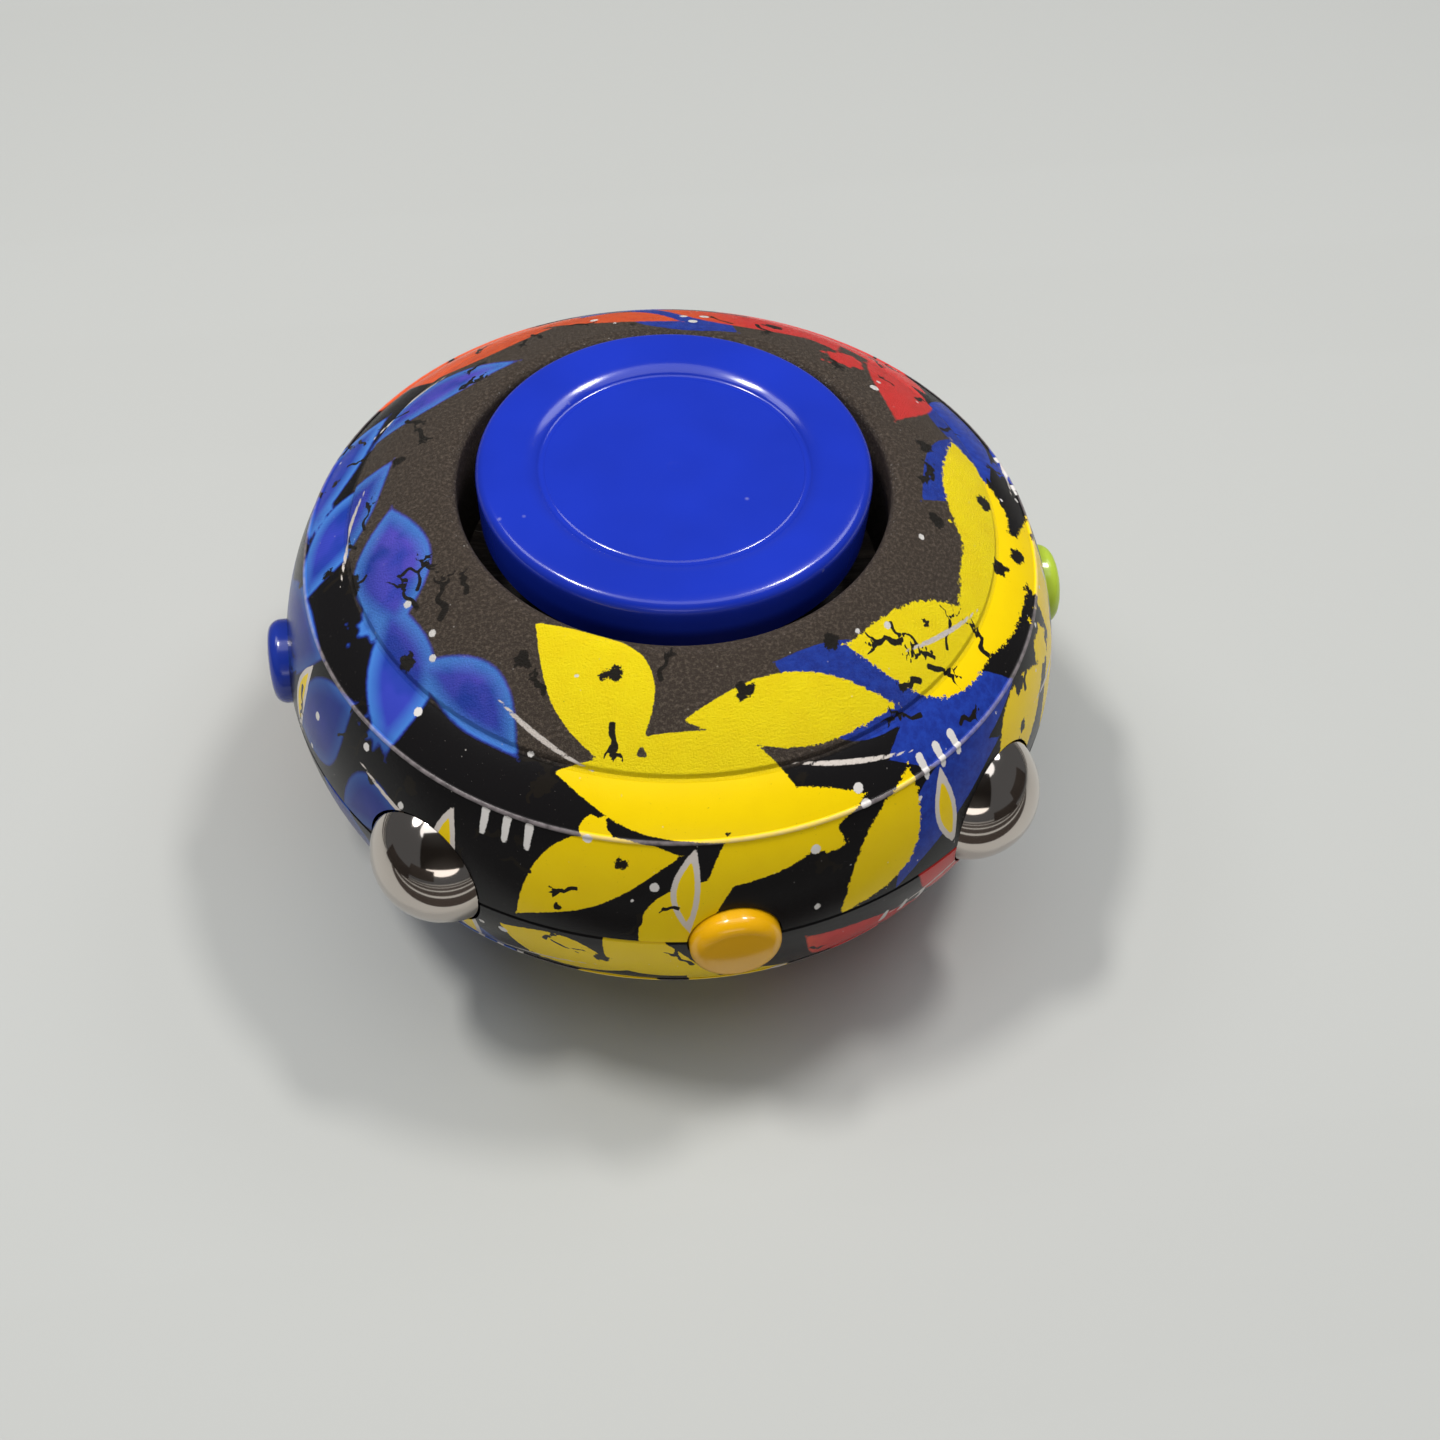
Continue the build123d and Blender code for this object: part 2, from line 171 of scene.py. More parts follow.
# --- the flat artwork ----------------------------------------------------------------------
def curve_through(points, closed, steps=6):
    """A smooth curve through points; a point given twice in a row makes a corner."""
    p = np.array(points, float)
    if closed:
        a, b, c, d = np.roll(p, 1, axis=0), p, np.roll(p, -1, axis=0), np.roll(p, -2, axis=0)
    else:
        ends = np.vstack([p[:1], p, p[-1:]])
        a, b, c, d = ends[:-3], ends[1:-2], ends[2:-1], ends[3:]
    t = np.linspace(0, 1, steps, endpoint=False)[:, None, None]
    curve = 0.5 * (2 * b + (c - a) * t + (2 * a - 5 * b + 4 * c - d) * t ** 2
                   + (3 * b - a - 3 * c + d) * t ** 3)
    curve = curve.transpose(1, 0, 2).reshape(-1, p.shape[1])
    return curve if closed else np.vstack([curve, p[-1:]])


def signed_distance(x, y, outline):
    """Distance from points to a closed outline, negative inside it."""
    nearest = np.full(x.shape, np.inf)
    inside = np.zeros(x.shape, bool)
    for (ax, ay), (bx, by) in zip(outline, np.roll(outline, -1, axis=0)):
        ex, ey, px, py = bx - ax, by - ay, x - ax, y - ay
        t = np.clip((px * ex + py * ey) / max(ex * ex + ey * ey, 1e-12), 0, 1)
        nearest = np.minimum(nearest, (px - t * ex) ** 2 + (py - t * ey) ** 2)
        if ay != by:
            inside ^= ((ay > y) != (by > y)) & (px < py * ex / ey)
    return np.where(inside, -1.0, 1.0) * np.sqrt(nearest)


# the print, in film millimetres and degrees: layer, first turn, last turn, leaves
UPPER_SECTORS = (("blue", -132, -42, 11), ("yellow", -30, 24, 8), ("royal", 24, 44, 3),
                 ("yellow", 44, 88, 7), ("royal", 90, 116, 4), ("red", 118, 164, 7),
                 ("royal", 166, 184, 3), ("red", 186, 222, 6))
LOWER_SECTORS = (("yellow", -34, 6, 6), ("red", 10, 52, 6), ("royal", 54, 92, 5),
                 ("yellow", 96, 150, 7), ("blue", 154, 218, 8), ("red", 222, 268, 6), ("blue", 272, 322, 6))
LEAF_REACHES = (22, 35, 28, 38, 25, 32)
LEAF_HEADINGS = (-38, 24, -12, 46)
LEAF_LENGTHS, LEAF_WIDTHS, LEAF_BEND = (11, 16), (5, 7.5), 0.16
LEAF_STEPS = 6
BLOT_LOBES, BLOT_DEPTH = 9, 0.35
DROPS = 6
SPIKES, SPIKE_LENGTH, SPIKE_WIDTH, SPIKE_BEND = 9, 8, 2.4, 0.08
ARCS, ARC_WIDTHS = 11, (0.1, 0.35, 0.4, 0.3, 0.1)
CRACKS, CRACK_BENDS, TWIG_SWAY, FORK_TURNS = 90, 5, 0.12, (-38, 34)
INK_BLOTS = 45
DAB_ROWS, DAB_GAP, DAB_HALF = 5, 3.4, 0.9
SPECKS = 60
PRINT_REACH = (18, 39)
UPPER_SEED, LOWER_SEED = 11, 23


class Artwork:
    """Painted shapes on the flat film, as signed distances at each point of the skin.

    A filled layer holds one distance.  A layer of lines holds the sideways offset from the
    nearest line and the plain distance to it, both as shares of the line's half width.
    """

    FILLED = ("blue", "royal", "red", "yellow", "outlined", "ink", "stroke", "white")
    LINED = ("scrawl",)

    def __init__(self, x, y):
        self.x, self.y = x, y
        self.fields = {name: np.full(x.shape, FAR) for name in self.FILLED}
        for name in self.LINED:
            self.fields[name + "_side"] = np.full(x.shape, 9.0)
            self.fields[name + "_far"] = np.full(x.shape, 9.0)

    def near(self, outline, margin):
        """Indices of the skin points in the box round an outline, with a margin."""
        low, high = outline.min(axis=0) - margin, outline.max(axis=0) + margin
        across = (self.x > low[0]) & (self.x < high[0])
        return np.flatnonzero(across & (self.y > low[1]) & (self.y < high[1]))

    def fill(self, layer, points):
        """Paints a closed shape into a layer."""
        outline = curve_through(points, True)
        index = self.near(outline, FAR)
        distance = signed_distance(self.x[index], self.y[index], outline)
        field = self.fields[layer]
        field[index] = np.minimum(field[index], distance)

    def dot(self, layer, x, y, radius):
        """A round spot."""
        self.fill(layer, [(x + radius * math.cos(a), y + radius * math.sin(a))
                          for a in np.radians(np.arange(0, 360, 60))])

    def brush(self, layer, points):
        """A round-ended brush stroke through points of x, y and width."""
        path = curve_through(points, False, steps=4)
        xy, half = path[:, :2], path[:, 2] / 2
        index = self.near(xy, FAR + half.max())
        x, y = self.x[index], self.y[index]
        distance = np.full(x.shape, np.inf)
        for (ax, ay), (bx, by), wa, wb in zip(xy, xy[1:], half, half[1:]):
            ex, ey, px, py = bx - ax, by - ay, x - ax, y - ay
            t = np.clip((px * ex + py * ey) / (ex * ex + ey * ey), 0, 1)
            distance = np.minimum(distance, np.hypot(px - t * ex, py - t * ey) - (wa + (wb - wa) * t))
        field = self.fields[layer]
        field[index] = np.minimum(field[index], distance)

    def line(self, layer, points):
        """Paints a line through points of x, y and width."""
        path = curve_through(points, False, steps=4)
        xy, half = path[:, :2], path[:, 2] / 2
        index = self.near(xy, 4 * half.max())
        x, y = self.x[index], self.y[index]
        side, far = self.fields[layer + "_side"], self.fields[layer + "_far"]
        for (ax, ay), (bx, by), wa, wb in zip(xy, xy[1:], half, half[1:]):
            ex, ey, px, py = bx - ax, by - ay, x - ax, y - ay
            length = math.hypot(ex, ey)
            t = np.clip((px * ex + py * ey) / length ** 2, 0, 1)
            width = wa + (wb - wa) * t
            distance = np.hypot(px - t * ex, py - t * ey) / width
            offset = (ex * py - ey * px) / length / width
            closer = distance < far[index]
            side[index[closer]] = offset[closer]
            far[index[closer]] = distance[closer]


def blot(x, y, radius, rng):
    """Outline of a ragged ink blot."""
    angles = np.arange(BLOT_LOBES * 2) * math.pi / BLOT_LOBES
    reach = radius * (1 + BLOT_DEPTH * rng.uniform(-1, 1, BLOT_LOBES * 2))
    return list(zip(x + reach * np.cos(angles), y + reach * np.sin(angles)))


def crack(start, end, width, sway, rng):
    """A wandering ink line between two points, thinner towards its end."""
    start, end = np.array(start, float), np.array(end, float)
    across = np.array([start[1] - end[1], end[0] - start[0]]) / math.dist(start, end)
    points = []
    for i in range(CRACK_BENDS + 1):
        share = i / CRACK_BENDS
        aside = rng.uniform(-sway, sway) * (0 < i < CRACK_BENDS)
        x, y = start + (end - start) * share + across * aside
        points.append((x, y, width * (1 - 0.75 * share) * rng.uniform(0.75, 1.3)))
    return points


def twig(art, start, degrees, reach, width, rng, forks=1):
    """An ink branch that splits into thinner ones."""
    a = math.radians(degrees)
    end = (start[0] + reach * math.cos(a), start[1] + reach * math.sin(a))
    art.line("scrawl", crack(start, end, width, TWIG_SWAY * reach, rng))
    if forks:
        for turn in FORK_TURNS:
            part = rng.uniform(0.45, 0.7)
            fork = (start[0] + part * (end[0] - start[0]), start[1] + part * (end[1] - start[1]))
            branch = degrees + turn * rng.uniform(0.8, 1.3)
            twig(art, fork, branch, reach * 0.5, width * 0.6, rng, forks - 1)


def film(turn, reach):
    """A place on the flat film, by its turn from the front and its distance from the middle."""
    a = math.radians(turn)
    return reach * math.sin(a), -reach * math.cos(a)


def leaf(turn, reach, heading, length, width, bend):
    """Outline of a curved leaf with two pointed ends; a heading of 0 runs along the rim."""
    x, y = film(turn, reach)
    a = math.radians(turn + heading)
    near_side, far_side = [], []
    for i in range(1, LEAF_STEPS):
        share = i / LEAF_STEPS
        along = (share - 0.5) * length
        bow = bend * length * (1 - (2 * share - 1) ** 2)
        half = width / 2 * math.sin(math.pi * share)
        near_side.append((along, bow - half))
        far_side.append((along, bow + half))
    tips = (-length / 2, 0), (length / 2, 0)
    outline = [tips[0]] * 2 + near_side + [tips[1]] * 2 + far_side[::-1]
    return [(x + u * math.cos(a) - v * math.sin(a), y + u * math.sin(a) + v * math.cos(a))
            for u, v in outline]


def splash(art, layer, turn, reach, radius, rng):
    """A ragged blot with drops thrown off round it."""
    x, y = film(turn, reach)
    art.fill(layer, blot(x, y, radius, rng))
    for _ in range(DROPS):
        a, away = rng.uniform(0, 2 * math.pi), radius * rng.uniform(1.3, 2.0)
        art.dot(layer, x + away * math.cos(a), y + away * math.sin(a), radius * rng.uniform(0.06, 0.16))


def colour_sector(art, layer, first, last, count, rng):
    """Leaves and blots of one colour, spread over a sector of the ring."""
    for i in range(count):
        turn = first + (last - first) * (i + 0.5) / count
        reach = LEAF_REACHES[i % len(LEAF_REACHES)] + rng.uniform(-1, 1)
        heading = LEAF_HEADINGS[i % len(LEAF_HEADINGS)] + rng.uniform(-8, 8)
        length, width = rng.uniform(*LEAF_LENGTHS), rng.uniform(*LEAF_WIDTHS)
        art.fill(layer, leaf(turn, reach, heading, length, width, rng.uniform(-LEAF_BEND, LEAF_BEND)))
    for i in range(count // 2):
        turn = first + (last - first) * (i + 1) / (count // 2 + 1)
        splash(art, layer, turn, rng.uniform(20, 37), rng.uniform(0.8, 1.7), rng)


def anywhere(rng):
    """A random place on the print."""
    return film(rng.uniform(0, 360), rng.uniform(*PRINT_REACH))


def paint_ring(art, sectors, rng):
    """An abstract print: coloured leaves and blots, outlined spikes, cracks and spatter on black."""
    for layer, first, last, count in sectors:
        colour_sector(art, layer, first, last, count, rng)
    for i in range(SPIKES):
        turn = 360 * i / SPIKES + rng.uniform(-6, 6)
        reach, heading = rng.uniform(34, 37), 90 + rng.uniform(-18, 18)
        art.fill("outlined", leaf(turn, reach, heading, SPIKE_LENGTH, SPIKE_WIDTH, SPIKE_BEND))
    for i in range(ARCS):
        start, reach = 360 * i / ARCS + rng.uniform(-12, 12), rng.uniform(22, 36)
        art.brush("stroke", [(*film(start + 5 * step, reach + 0.7 * step), width)
                             for step, width in enumerate(ARC_WIDTHS)])
    for _ in range(CRACKS):
        twig(art, anywhere(rng), rng.uniform(0, 360), rng.uniform(1.4, 3.6), rng.uniform(0.25, 0.5), rng)
    for _ in range(INK_BLOTS):
        art.fill("ink", blot(*anywhere(rng), rng.uniform(0.3, 0.9), rng))
    for i in range(DAB_ROWS):
        first, reach = 360 * (i + 0.4) / DAB_ROWS + rng.uniform(-8, 8), rng.uniform(26, 36)
        for turn in (first, first + DAB_GAP, first + 2 * DAB_GAP):
            low, high = film(turn, reach - DAB_HALF), film(turn, reach + DAB_HALF)
            art.brush("white", [(*low, 0.7), (*high, 0.5)])
    for _ in range(SPECKS):
        x, y = film(rng.uniform(0, 360), rng.uniform(18, 39.5))
        art.dot("white", x, y, rng.uniform(0.1, 0.45))


def paint_upper(art):
    """The print on the upper half."""
    paint_ring(art, UPPER_SECTORS, np.random.default_rng(UPPER_SEED))


def paint_lower(art):
    """The print on the lower half."""
    paint_ring(art, LOWER_SECTORS, np.random.default_rng(LOWER_SEED))


# --- shader nodes --------------------------------------------------------------------------
class Shader:
    """A material's node tree, with short names for the nodes that the pieces use."""

    def __init__(self, name):
        self.material = bpy.data.materials.new(name)
        self.material.use_nodes = True
        self.tree = self.material.node_tree
        self.surface = self.tree.nodes["Principled BSDF"]

    def put(self, socket, value):
        """Sets a socket to a constant, or links it to another node's output."""
        if isinstance(value, bpy.types.NodeSocket):
            self.tree.links.new(value, socket)
        elif isinstance(value, tuple) and len(value) == 3 and socket.type == "RGBA":
            socket.default_value = (*value, 1)
        else:
            socket.default_value = value

    def set(self, **values):
        """Sets inputs of the surface shader, such as base_color=(r, g, b)."""
        for name, value in values.items():
            title = name.replace("_", " ").title()
            title = {"Ior": "IOR", "Specular Ior Level": "Specular IOR Level"}.get(title, title)
            self.put(self.surface.inputs[title], value)

    def node(self, kind, values=(), **settings):
        """Adds a node, with the values or links of its first inputs."""
        made = self.tree.nodes.new("ShaderNode" + kind)
        for name, value in settings.items():
            setattr(made, name, value)
        for socket, value in zip(made.inputs, values):
            if value is not None:
                self.put(socket, value)
        return made

    def math(self, operation, *values):
        """The result of a sum on numbers or outputs."""
        return self.node("Math", values, operation=operation).outputs[0]

    def split(self, vector, axis):
        """One axis of a position."""
        return self.node("SeparateXYZ", (vector,)).outputs[axis]

    def field(self, name):
        """A named value that the mesh holds at each vertex."""
        return self.node("Attribute", attribute_name=name).outputs["Fac"]

    def place(self, name):
        """A named position that the mesh holds at each vertex."""
        return self.node("Attribute", attribute_name=name).outputs["Vector"]

    def noise(self, place, scale, detail=2.0, roughness=0.5):
        """Smooth noise around 0.5."""
        made = self.node("TexNoise")
        self.put(made.inputs["Vector"], place)
        self.put(made.inputs["Scale"], scale)
        self.put(made.inputs["Detail"], detail)
        self.put(made.inputs["Roughness"], roughness)
        return made.outputs[0]

    def spots(self, place, scale):
        """Distance to the nearest of many scattered points."""
        made = self.node("TexVoronoi")
        self.put(made.inputs["Vector"], place)
        self.put(made.inputs["Scale"], scale)
        self.put(made.inputs["Randomness"], 1.0)
        return made.outputs["Distance"]

    def span(self, value, low, high, start=0.0, end=1.0):
        """start below low, end above high, and a straight change between them."""
        made = self.node("MapRange", (value, low, high, start, end))
        return made.outputs[0]

    def inside(self, distance, edge=0.03):
        """1 where a signed distance is below zero, with a narrow soft edge."""
        return self.span(distance, -edge, edge, 1.0, 0.0)

    def mix(self, share, low, high):
        """Blends two colours."""
        made = self.node("Mix", data_type="RGBA")
        self.put(made.inputs[0], share)
        self.put(made.inputs[6], low)
        self.put(made.inputs[7], high)
        return made.outputs[2]

    def both(self, *shares):
        """The product of several shares."""
        out = shares[0]
        for share in shares[1:]:
            out = self.math("MULTIPLY", out, share)
        return out

    def bump(self, height, strength, distance):
        """A normal that follows a height."""
        made = self.node("Bump")
        self.put(made.inputs["Strength"], strength)
        self.put(made.inputs["Distance"], distance)
        self.put(made.inputs["Height"], height)
        return made.outputs[0]


MATTE_FROM, MATTE_TO = 13.9, 14.4     # the rise over which the gloss gives way to the matte dome


def printed_plastic():
    """Black plastic under the film print: matte grain on the dome, gloss below its step."""
    s = Shader("printed_plastic")
    film, rise, skin = s.place("film"), s.field("rise"), s.field("skin")
    coarse = s.math("SUBTRACT", s.noise(film, 1.6, 3.0, 0.6), 0.5)
    fine = s.math("SUBTRACT", s.noise(film, 7.0, 2.0), 0.5)
    jitter = s.math("MULTIPLY_ADD", coarse, 0.22, s.math("MULTIPLY", fine, 0.16))

    def layer(name, offset=0.0, rag=1.0):
        moved = s.math("MULTIPLY_ADD", jitter, rag, s.field(name))
        return s.math("ADD", moved, offset)

    def lines(name, rag):
        side = s.math("MULTIPLY_ADD", jitter, rag, s.field(name + "_side"))
        near = s.inside(s.math("SUBTRACT", s.field(name + "_far"), 1.55), 0.15)
        return s.both(s.inside(s.math("SUBTRACT", s.math("ABSOLUTE", side), 1.0), 0.1), near)

    # the matte dome's black is lighter and browner than the gloss black below its step: partly the matte
    # finish's own grey-brown, partly painted sheen
    black = s.mix(s.span(rise, MATTE_FROM, MATTE_FROM + 0.6), (0.0075, 0.0070, 0.0075), (0.042, 0.032, 0.025))
    flecks = s.span(s.noise(film, 5.5, 3.0, 0.7), 0.70, 0.74)
    black = s.mix(s.both(flecks, 0.5), black, (0.42, 0.38, 0.35))

    speck = s.both(s.span(rise, MATTE_FROM, MATTE_TO), s.span(s.noise(film, 3.6, 3.0, 0.8), 0.48, 0.66))
    black = s.mix(speck, black, (0.105, 0.082, 0.064))

    # airbrushed blue: bright rim, royal body, violet where the spray is thick, and painted shade on the side
    # below the ridge
    depth = s.math("MULTIPLY", layer("blue", 0.0, 0.7), -1.0)
    cloud = s.noise(film, 0.22, 3.0)
    body = s.mix(s.span(cloud, 0.42, 0.62), (0.012, 0.040, 0.31), (0.035, 0.052, 0.42))
    violet = s.both(s.span(rise, 14, 19), s.span(s.noise(film, 0.5, 2.0), 0.35, 0.6))
    body = s.mix(violet, body, (0.085, 0.070, 0.50))
    glow = s.both(s.span(depth, 0.0, 0.25), s.span(depth, 0.3, 1.45, 0.85, 0.0))
    blue = s.mix(glow, body, (0.060, 0.215, 0.60))
    screen = s.math("MULTIPLY", s.math("SINE", s.math("MULTIPLY", s.split(film, 0), 30.0)),
                    s.math("SINE", s.math("MULTIPLY", s.split(film, 1), 30.0)))
    blue = s.mix(s.span(screen, 0.1, 0.9, 0.0, 0.30), blue, (0.010, 0.012, 0.09))
    # painted shade: the blue is darker on the side below the ridge, which faces away from the lamps overhead
    blue = s.mix(s.span(rise, 8.4, 10.4, 0.7, 0.0), blue, (0.008, 0.020, 0.15))
    colour = s.mix(s.inside(s.math("MULTIPLY", depth, -1.0), 0.12), black, blue)

    patches = s.span(s.noise(film, 1.2, 4.0, 0.7), 0.4, 0.65)
    royal = s.mix(patches, (0.012, 0.030, 0.24), (0.016, 0.048, 0.34))
    colour = s.mix(s.inside(layer("royal", 0.0, 0.6)), colour, royal)

    leftness = s.span(s.split(film, 0), 4.0, 9.0)
    red = s.mix(leftness, (0.62, 0.085, 0.022), (0.56, 0.035, 0.032))
    red = s.mix(s.span(s.noise(film, 0.8, 3.0), 0.5, 0.7, 0.0, 0.35), red, (0.40, 0.028, 0.020))
    colour = s.mix(s.inside(layer("red", 0.0, 1.2), 0.1), colour, red)

    # painted shade: the yellow is darker and more orange on the gloss band and side below the step, which
    # face away from the lamps overhead
    yellow = s.mix(s.span(rise, MATTE_FROM, MATTE_FROM + 0.6), (0.80, 0.57, 0.002), (0.82, 0.65, 0.004))
    yellow = s.mix(s.span(s.noise(film, 0.45, 2.0), 0.4, 0.7, 0.0, 0.25), yellow, (0.74, 0.50, 0.002))
    ragged = s.math("MULTIPLY", s.split(film, 0), 0.10)
    ragged = s.math("MULTIPLY_ADD", s.math("SUBTRACT", s.noise(film, 2.6, 5.0, 0.75), 0.5),
                    s.math("MINIMUM", s.math("MAXIMUM", ragged, 0.0), 1.5), layer("yellow"))
    pale = (0.58, 0.53, 0.49)
    colour = s.mix(s.inside(ragged), colour, yellow)
    colour = s.mix(s.inside(layer("outlined", 0.0, 0.7)), colour, pale)
    colour = s.mix(s.inside(layer("outlined", 0.46, 0.5)), colour, yellow)

    ink = (0.012, 0.010, 0.008)
    scuffs = s.both(s.span(s.noise(film, 3.4, 6.0, 0.8), 0.64, 0.66),
                    s.span(s.noise(film, 0.3, 1.0), 0.48, 0.56))
    scuffs = s.both(scuffs, s.inside(layer("yellow", 0.3)))
    colour = s.mix(scuffs, colour, ink)
    colour = s.mix(s.inside(layer("ink", 0.0, 2.6)), colour, ink)
    colour = s.mix(lines("scrawl", 2.2), colour, ink)

    dusty = s.mix(s.span(s.noise(film, 6.0, 4.0, 0.7), 0.5, 0.72, 0.0, 0.55), pale, (0.36, 0.31, 0.27))
    colour = s.mix(s.inside(layer("stroke", 0.0, 0.35)), colour, dusty)
    colour = s.mix(s.inside(layer("white", 0.0, 0.8)), colour, (0.62, 0.60, 0.58))

    # painted highlight along the ridge, a light line where its edge catches the lamps, and flecks of wear
    # lost round the lip of the well
    ridge = s.span(s.math("ABSOLUTE", s.math("SUBTRACT", rise, RIDGE_RISE)), 0.1, 0.24, 0.34, 0.0)
    uneven = s.span(s.noise(film, 1.5, 3.0), 0.3, 0.6, 0.4, 1.0)
    colour = s.mix(s.both(ridge, uneven), colour, (0.55, 0.48, 0.50))
    chips = s.both(s.span(rise, LIP_RISE - 0.9, LIP_RISE + 0.2),
                   s.span(s.noise(film, 4.2, 5.0, 0.8), 0.62, 0.65))
    colour = s.mix(s.both(chips, 0.75), colour, (0.50, 0.46, 0.42))
    dust = s.both(s.span(s.spots(film, 0.8), 0.035, 0.06, 1.0, 0.0),
                  s.span(s.noise(film, 0.3, 2.0), 0.45, 0.6))
    colour = s.mix(s.both(dust, 0.55), colour, (0.60, 0.57, 0.53))
    colour = s.mix(skin, (0.010, 0.009, 0.009), colour)

    matte = s.span(rise, MATTE_FROM, MATTE_TO)
    grain = s.noise(film, 5.2, 4.0, 0.75)
    rough = s.math("MULTIPLY_ADD", grain, 0.25, s.span(rise, MATTE_FROM, MATTE_TO, 0.10, 0.30))
    relief = s.math("MULTIPLY", grain, s.math("MULTIPLY_ADD", matte, 1.0, 0.06))
    s.set(base_color=colour, roughness=rough, normal=s.bump(relief, 1.0, 0.00020), specular_ior_level=0.15)
    return s.material


def moulded_plastic(name, colour, rough):
    """Polished coloured plastic with faint flow marks and a little dust."""
    s = Shader(name)
    place = s.node("TexCoord").outputs["Object"]
    darker = tuple(c * 0.8 for c in colour)
    tint = s.mix(s.span(s.noise(place, 90, 2.0), 0.3, 0.7), darker, colour)
    dust = s.both(s.span(s.spots(place, 520), 0.0, 0.11, 1.0, 0.0),
                  s.span(s.noise(place, 150, 1.0), 0.62, 0.66))
    tint = s.mix(s.both(dust, 0.45), tint, tuple(0.5 * c + 0.35 for c in colour))
    shine = s.math("MULTIPLY_ADD", s.noise(place, 700, 3.0), 0.08, rough - 0.04)
    relief = s.bump(s.noise(place, 260, 2.0), 0.12, 0.00003)
    s.set(base_color=tint, roughness=shine, normal=relief)
    return s.material


def metal(name, colour, rough, streaks=0.0, grain=600.0):
    """Bare metal with fine variation in its polish."""
    s = Shader(name)
    place = s.node("TexCoord").outputs["Object"]
    variation = s.noise(place, grain, 3.0)
    shine = s.math("MULTIPLY_ADD", variation, streaks, rough)
    clouds = s.span(s.noise(place, grain / 3, 2.0), 0.35, 0.65)
    tint = s.mix(clouds, tuple(c * 0.93 for c in colour), colour)
    s.set(base_color=tint, metallic=1.0, roughness=shine)
    return s.material


# --- shell halves ----------------------------------------------------------------------------
def shell_profile(step):
    """Outer skin from the seam to the floor of the well, then the whole closed section."""
    bead_r, bead_h, bead = BEAD
    skin = joined(
        [(SEAM_R - SEAM_CHAMFER, 0), (SEAM_R, SEAM_CHAMFER)],
        arc((SEAM_R, SEAM_CHAMFER), (30.48, 4.65), (28.77, 8.85), step),
        round_corner(bead_r, bead_h, bead, -20, 100, 7),
        arc((28.5, 9.17), BAND_MID, BAND_TOP, step),
        round_corner(24.80, 12.0, 0.2, -10, 60, 4),
        arc((24.86, 12.2), DOME_MID, DOME_TOP, step),
        round_corner(WELL_R + LIP_ROUND, DOME_TOP[1] - LIP_ROUND, LIP_ROUND, 90, 180, 7),
        straight((WELL_R, DOME_TOP[1] - LIP_ROUND), (WELL_R, 10.5), 0.35),
        straight((WELL_R, 10.5), (WELL_R, WELL_FLOOR), 1.4),
    )
    inner = joined(
        [(WELL_R, WELL_FLOOR), (13, WELL_FLOOR), (9.6, WELL_FLOOR), (9.6, 3.5), (11, 3.5), (11, 0),
         (12.8, 0), (12.8, 4.9), (18.2, 4.9), (18.2, 11.9), (23.6, 10.15), (26.7, 8.2)],
        arc((26.7, 8.2), (28.28, 4.65), (28.8, 0), 1.5),
    )
    return skin, joined(skin, inner)


def along_skin(points, skin):
    """How far each point of radius, height is up the skin from the seam, and how far off it."""
    skin = np.array(skin)
    lengths = np.r_[0, np.cumsum(np.hypot(*np.diff(skin, axis=0).T))]
    rise, off = np.zeros(len(points)), np.full(len(points), 9.0)
    for (a, b), start in zip(zip(skin, skin[1:]), lengths):
        edge = b - a
        length = np.hypot(*edge)
        t = np.clip((points - a) @ edge / length ** 2, 0, 1)
        distance = np.hypot(*(points - a - t[:, None] * edge).T)
        closer = distance < off
        off[closer] = distance[closer]
        rise[closer] = start + t[closer] * length
    return rise, off


